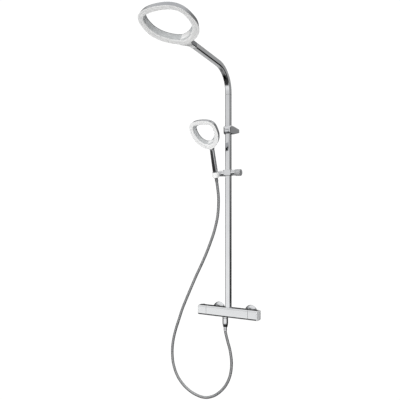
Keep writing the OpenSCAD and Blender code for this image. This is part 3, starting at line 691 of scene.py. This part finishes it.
class Ring:
    """Outline and hole of a ring head, with walls that lean. Loops are asked for by inset and height."""

    def __init__(self, size, thick, count=240):
        length, width, curve, _, _, slopes = size
        share = 1 - 2 * slopes[0] / width
        self.outer = [
            ring_points(length, width, curve, 0, count),
            ring_points(
                length - 2 * slopes[0], width - 2 * slopes[0], [share * c for c in curve], slopes[0], count)]
        self.hole = hole_points(size, count)
        self.size, self.thick = size, thick
        share = np.minimum(np.arange(count), count - np.arange(count)) / (count / 2)
        # The white face runs up the wall close to the neck, further on the right than on the left. The extra
        # reach on the right is painted light: white that stands for light falling on that side of the grey
        # wall.
        reach = np.where(np.arange(count) < count / 2, 0.26, 0.03)
        neck_white_and_painted_light = np.clip((reach - share) / (0.4 * reach + 0.02), 0, 1)
        self.neck = neck_white_and_painted_light * neck_white_and_painted_light * (3 - 2 * neck_white_and_painted_light)

    def at(self, loops, amount, z):
        rise = np.broadcast_to(z, len(loops[0]))[:, None] / self.thick
        return inset(loops[0] * (1 - rise) + loops[1] * rise, amount)

    def o(self, amount, z):
        return ring_loop(self.at(self.outer, amount, z), z)

    def h(self, amount, z):
        return ring_loop(self.at(self.hole, -np.asarray(amount, float), z), z)

    def between(self, share, z):
        return ring_loop(self.at(self.outer, 0, z) * (1 - share) + self.at(self.hole, 0, z) * share, z)

    def shell(self):
        t = self.thick
        return loft([
            self.o(2.2, 2.5), self.o(0.7, 2.5), self.o(0.2, 2.8), self.o(0, 3.5), self.o(0, t * 0.5),
            self.o(0, t - 4.2), self.o(0.3, t - 2.2), self.o(1.1, t - 0.9), self.o(2.6, t - 0.15),
            self.o(4.2, t), self.between(0.5, t), self.h(3.4, t), self.h(1.6, t - 0.15), self.h(0.5, t - 0.7),
            self.h(0.05, t - 1.5), self.h(0, t - 2.3), self.h(2.8, t - 2.3), self.o(2.2, t - 2.3)],
            closed=True)

    def face(self):
        """Stepped face plate. Close to the neck it runs up the wall of the hole; further round on the right
        this white is painted light on the wall.
        """
        # rise is the real white close to the neck and, on the right, painted light on the wall
        t, rise = self.thick, self.neck
        top = 2.3 + rise * (t - 5.4)
        return loft([
            self.o(2.4, 2.3), self.o(0.6, 2.3), self.o(0.35, 1.9), self.o(0.35, 1.1), self.o(0.7, 0.4),
            self.o(1.6, 0.05), self.o(3.0, 0), self.between(0.36, 0), self.between(0.375, 0.05),
            self.between(0.385, 0.45), self.between(0.41, 0.5), self.between(0.42, 0.1),
            self.between(0.44, 0.02), self.between(0.72, 0.1),
            self.h(3.2 + 3 * rise, 0.3 + 0.2 * rise), self.h(1.7 + 1.6 * rise, 0.7 + 1.2 * rise),
            self.h(0.7 + 0.6 * rise, 1.3 + 3.2 * rise), self.h(0.1 - 0.3 * rise, 2.0 + 7 * rise),
            self.h(-0.1 - 0.5 * rise, top), self.h(0.6 - 0.8 * rise, top + 0.2), self.h(2.6, 2.4)],
            closed=True)


def ribbed_wall(ring, ribs):
    """Wall of the hole, ribbed from top to bottom where the jets come out."""
    per_rib = 6
    count = ribs * per_rib
    loops = hole_points(ring.size, count)
    rib = 0.75 * (0.5 - 0.5 * np.cos(2 * np.pi * np.arange(count) / per_rib)) ** 0.7
    t = ring.thick

    def wall(amount, z):
        return ring_loop(ring.at(loops, -np.asarray(amount, float), z), z)

    return loft([
        wall(3.0, 2.4), wall(0.9, 2.4), wall(0.15 + rib * 0.6, 2.8), wall(0.05 + rib, 3.8),
        wall(0.05 + rib, t - 4), wall(0.1 + rib * 0.6, t - 3), wall(0.9, t - 2.5), wall(3.0, t - 2.5)],
        closed=True)


# Length, width, curve of the outline, curve of the hole, bands, how far the walls lean
HEAD_SIZE = (214, 212, (107, 8, 83, 63, 90), (93, 23, 62, 41, 80), (26.5, 21, 22), (9, 6))
HAND_SIZE = (131, 123.5, (75.5, 29.7, 40, 30, 60), (60, 27.7, 29.8, 26.8, 44), (22, 15, 17), (2.4, 10))
head_ring = Ring(HEAD_SIZE, HEAD_T)
hand_ring = Ring(HAND_SIZE, HAND_T)


def neck_sections(sections, rounding):
    """Rings of a neck in a ring's frame: place, tilt, half width, lower and upper reach."""
    rings = []
    for y, z, tilt, half, low, high, radius in sections:
        turn = Matrix.Translation((0, y, z)) @ Matrix.Rotation(math.radians(tilt), 4, "X")
        rings.append([turn @ Vector((x, 0, (high - low) / 2 + v))
                      for x, v in round_rect(2 * half, low + high, min(radius, rounding * half), 8)])
    return rings


# Place along the neck, height, tilt, half width, reach below and above, corner radius
HEAD_NECK = [
    (51.2, 33.1, 12.2, 10.6, 10.6, 10.6, 4.6), (50.8, 33.0, 12.2, 11, 11, 11, 5),
    (43, 31.4, 12.6, 11, 11, 11, 5), (35, 29.3, 15, 11.2, 11, 11, 4.8), (27, 26.6, 19, 12, 11, 11.2, 4.4),
    (19, 23.3, 22, 13.8, 11, 11.4, 4), (11.5, 20, 22, 16.6, 11.2, 11.4, 3.8),
    (4.5, 17, 19, 20.5, 11.6, 11, 3.6), (-2, 14.8, 13, 25, 11.9, 10.9, 3.4),
    (-8, 13.2, 6, 29, 11.8, 11, 3), (-16, 12.5, 0, 31, 10.5, 11.3, 2.6)]
HAND_NECK = [
    (11.0, 16.1, -20.7, 9.2, 9.2, 9.2, 9.1), (8, 16.8, -19, 9.5, 9.6, 9, 7.6),
    (4, 16.6, -14, 10.6, 10.8, 8, 6), (0, 15.4, -6, 12.8, 11.8, 7.2, 4.8), (-4, 13.8, 0, 16.2, 12.2, 7, 3.8),
    (-9, 11.9, 2, 21, 11.2, 8, 3.2), (-15, 10.7, 0, 26, 10, 9, 2.6)]


def tongue(sections, first, thick=1.6):
    """White plate along the underside of a neck."""
    rings = []
    for y, z, tilt, half, low, high, radius in sections[first:]:
        turn = Matrix.Translation((0, y, z)) @ Matrix.Rotation(math.radians(tilt), 4, "X")
        wide = half - min(radius, 3) * 0.45
        rings.append([turn @ Vector((x, 0, -low - 0.25 + thick / 2 + v))
                      for x, v in round_rect(2 * wide, thick, 0.7, 4)])
    return loft(rings)


piece("head_shell_plated", placed(head_ring.shell(), HEAD_FRAME), "head_shell",
      add=[placed(loft(neck_sections(HEAD_NECK, 0.96)), HEAD_FRAME)], sharp=40)
piece("head_face_white", placed(head_ring.face(), HEAD_FRAME), "head_face",
      add=[placed(tongue(HEAD_NECK, 1), HEAD_FRAME)], sharp=40)
piece("head_nozzle_wall", placed(ribbed_wall(head_ring, 116), HEAD_FRAME),
      "head_nozzle_ring", sharp=60)
piece("handset_shell_plated", placed(hand_ring.shell(), HAND_FRAME), "handset_shell",
      add=[placed(loft(neck_sections(HAND_NECK, 0.99)), HAND_FRAME)], sharp=40)
piece("handset_face_white", placed(hand_ring.face(), HAND_FRAME), "handset_face",
      add=[placed(tongue(HAND_NECK, 1), HAND_FRAME)], sharp=40)
piece("handset_nozzle_wall", placed(ribbed_wall(hand_ring, 64), HAND_FRAME),
      "handset_nozzle_ring", sharp=60)


# ---------- handset handle ----------

handle_profile = soft_profile(
    [(6, 5), (8.5, 5), (8.5, 13.2), (10.3, 13.2), (10.4, 14.6), (10.3, 40), (9.9, 72), (9.4, 99),
     (9.3, HANDLE_TOP), (6, HANDLE_TOP)], 0.5)
piece("handset_grip", placed(lathe(handle_profile, 96), HANDLE_FRAME), "handset_handle")


# ---------- slider and cradle ----------

def turned_x(profile, y, z, sides=64):
    """A lathe about an axis along X. The profile is radius and X."""
    return placed(lathe(profile, sides), Matrix(((0, 0, 1, 0), (1, 0, 0, y), (0, 1, 0, z), (0, 0, 0, 1))))


slider_collar = shifted(prism(35, 35, 8, -12, 12, 2.2, 10), 0, CY, SLIDER_Z)
left_boss = turned_x(soft_profile([(3, -24.2), (12, -24.2), (12, -12)], 1), PIVOT_Y, PIVOT_Z)
right_boss = turned_x([(12, 12), (12, 31.6), (11.7, 32.6), (10.8, 33), (3, 33)], CY, SLIDER_Z)
piece("slider_collar", slider_collar, "slider_body", add=[left_boss, right_boss],
      cut=[collar_hole(SLIDER_Z, 30)])


# Profile of the slider's knob: radius, X, depth of the ribs
KNOB_PROFILE = [
    (4.02, 33.6, 0), (12.6, 33.6, 0), (13.3, 34.0, 0), (13.6, 34.8, 0), (14, 35.6, 0.5), (14, 55.2, 0.5),
    (13.7, 56.4, 0.3), (13.2, 57.2, 0), (12.2, 57.8, 0), (10.8, 58, 0), (10.2, 58.02, 0), (4, 58.03, 0),
    (1, 58.03, 0)]


def ribbed_knob(ribs=30, per_rib=6):
    """Hand knob with fine ribs round it."""
    turns = [2 * math.pi * k / (ribs * per_rib) for k in range(ribs * per_rib)]

    def reach(radius, depth, a):
        return radius - depth * (0.5 - 0.5 * math.cos(ribs * a))

    return loft([
        [(x, CY + reach(radius, depth, a) * math.cos(a), SLIDER_Z + reach(radius, depth, a) * math.sin(a))
         for a in turns]
        for radius, x, depth in KNOB_PROFILE])


piece("slider_knob_ribbed", ribbed_knob(), "slider_knob", sharp=50, material="satin_plastic")

cup_profile = soft_profile([(9.9, -11), (12.6, -11), (13.6, -9.6), (15, 9.6), (14.6, 11), (12.35, 11)], 0.9)
cup = placed(lathe(cup_profile + [(12.2, 10.4), (10.1, -10.6)], 96, closed=True), HANDLE_FRAME)
slot_corners = [(x, y, z) for x in (-30, 0) for y in (-7, 7) for z in (-30, 30)]
slot_sides = [(0, 1, 3, 2), (4, 6, 7, 5), (0, 4, 5, 1), (2, 3, 7, 6), (0, 2, 6, 4), (1, 5, 7, 3)]
cup_slot = placed((slot_corners, slot_sides), HANDLE_FRAME)
hub = turned_x(soft_profile([(3.05, -24.6), (12, -24.6), (12, -36), (5.8, -36)], 1), PIVOT_Y, PIVOT_Z)
# The cradle's white is lighter than the faces' white as painted light for the front light on it
piece("cradle_cup", cup, "cradle", cut=[cup_slot], material="cradle_white_painted_light")
piece("cradle_hub", hub, "cradle", material="polished_chrome")


# ---------- the CAD parts that show as they are ----------

for name, node in NODES.items():
    if not node.hide_render:
        node.data.materials.clear()
        node.data.materials.append(MATERIALS[SLOTS[name]])


# ---------- studio ----------

def studio_world():
    """White behind the object; in its reflections a light front and roof, and dark sides."""
    world = bpy.data.worlds.new("studio")
    bpy.context.scene.world = world
    world.use_nodes = True
    nodes, links = world.node_tree.nodes, world.node_tree.links
    background = nodes["Background"]
    coord = nodes.new("ShaderNodeTexCoord").outputs["Generated"]

    def dot(direction):
        product = nodes.new("ShaderNodeVectorMath")
        product.operation = "DOT_PRODUCT"
        links.new(coord, product.inputs[0])
        product.inputs[1].default_value = direction
        return product.outputs["Value"]

    def math_node(operation, first, second):
        node = nodes.new("ShaderNodeMath")
        node.operation = operation
        for socket, value in zip(node.inputs, (first, second)):
            if isinstance(value, (int, float)):
                socket.default_value = value
            else:
                links.new(value, socket)
        return node.outputs[0]

    def soft_step(value, start, stop, low, high):
        node = nodes.new("ShaderNodeMapRange")
        node.interpolation_type = "SMOOTHSTEP"
        for name, number in (("From Min", start), ("From Max", stop), ("To Min", low), ("To Max", high)):
            node.inputs[name].default_value = number
        links.new(value, node.inputs["Value"])
        return node.outputs["Result"]

    height = dot((0, 0, 1))
    # Bright front, dimmer towards the roof
    front = soft_step(dot((0.26, -0.966, 0)), 0.34, 0.5, 0, 1)
    front = math_node("MULTIPLY", front, soft_step(height, -0.18, 0.18, 0.95, 0.72))
    # Grey back right, darker low down
    back = soft_step(dot((0.53, 0.848, 0)), 0.5, 0.95, 0, 1)
    back = math_node("MULTIPLY", back, soft_step(height, -0.16, 0.3, 0.02, 0.36))
    # Both on a dark room, with a dark band below them
    light = math_node("ADD", math_node("ADD", 0.03, front), back)
    light = math_node("MULTIPLY", light, soft_step(height, -0.22, -0.38, 1, 0.04))
    # Grey low down at the back left
    behind = math_node(
        "MULTIPLY", soft_step(dot((-0.8, 0.6, 0)), 0.4, 0.8, 0, 0.5), soft_step(height, -0.15, -0.35, 0, 1))
    light = math_node("MAXIMUM", light, behind)
    # White roof and grey ground
    light = math_node("MAXIMUM", light, soft_step(height, 0.35, 0.8, 0, 0.95))
    light = math_node("MAXIMUM", light, soft_step(height, -0.8, -0.97, 0, 0.5))
    path = nodes.new("ShaderNodeLightPath")
    seen = nodes.new("ShaderNodeMix")
    links.new(path.outputs["Is Camera Ray"], seen.inputs["Factor"])
    links.new(light, seen.inputs["A"])
    seen.inputs["B"].default_value = 1.06
    links.new(seen.outputs["Result"], background.inputs["Strength"])
    background.inputs["Color"].default_value = (1, 1, 1, 1)


def area_light(name, location, target, size, power):
    light = bpy.data.objects.new(name, bpy.data.lights.new(name, "AREA"))
    bpy.context.scene.collection.objects.link(light)
    light.data.size = size
    light.data.energy = power
    light.location = location
    light.rotation_euler = (Vector(target) - Vector(location)).to_track_quat("-Z", "Y").to_euler()
    light.visible_camera = False
    return light


studio_world()
key = area_light("key_light", (0.6, -2.6, 1.2), (0, 0, 0.2), 1.6, 19)
fill = area_light("fill_light", (-2.4, -1.6, 0.7), (0, 0, 0.7), 1.4, 20)
below = area_light("below_light", (-0.2, -1.6, -0.8), (0, -0.4, 1), 1.3, 11)
side = area_light("side_light", (2.4, -0.3, 0.2), (0, 0, 0.2), 1.2, 9)
for light in (key, fill, below, side):
    light.visible_glossy = False

FLOOR_HALF, FLOOR_Z = 1.3, -1.1
floor_mesh = bpy.data.meshes.new("floor")
floor_mesh.from_pydata(
    [(x * FLOOR_HALF, y * FLOOR_HALF, FLOOR_Z) for x, y in ((-1, -1), (1, -1), (1, 1), (-1, 1))],
    [], [(0, 1, 2, 3)])
floor = bpy.data.objects.new("floor", floor_mesh)
bpy.context.scene.collection.objects.link(floor)
floor_mesh.materials.append(surface(
    "floor", ((0.96, 0.96, 0.96), (0.95, 0.95, 0.95)), (0.6, 0.7), cloud=2, grain=40))
floor.visible_glossy = False

bpy.context.scene.view_settings.view_transform = "Standard"
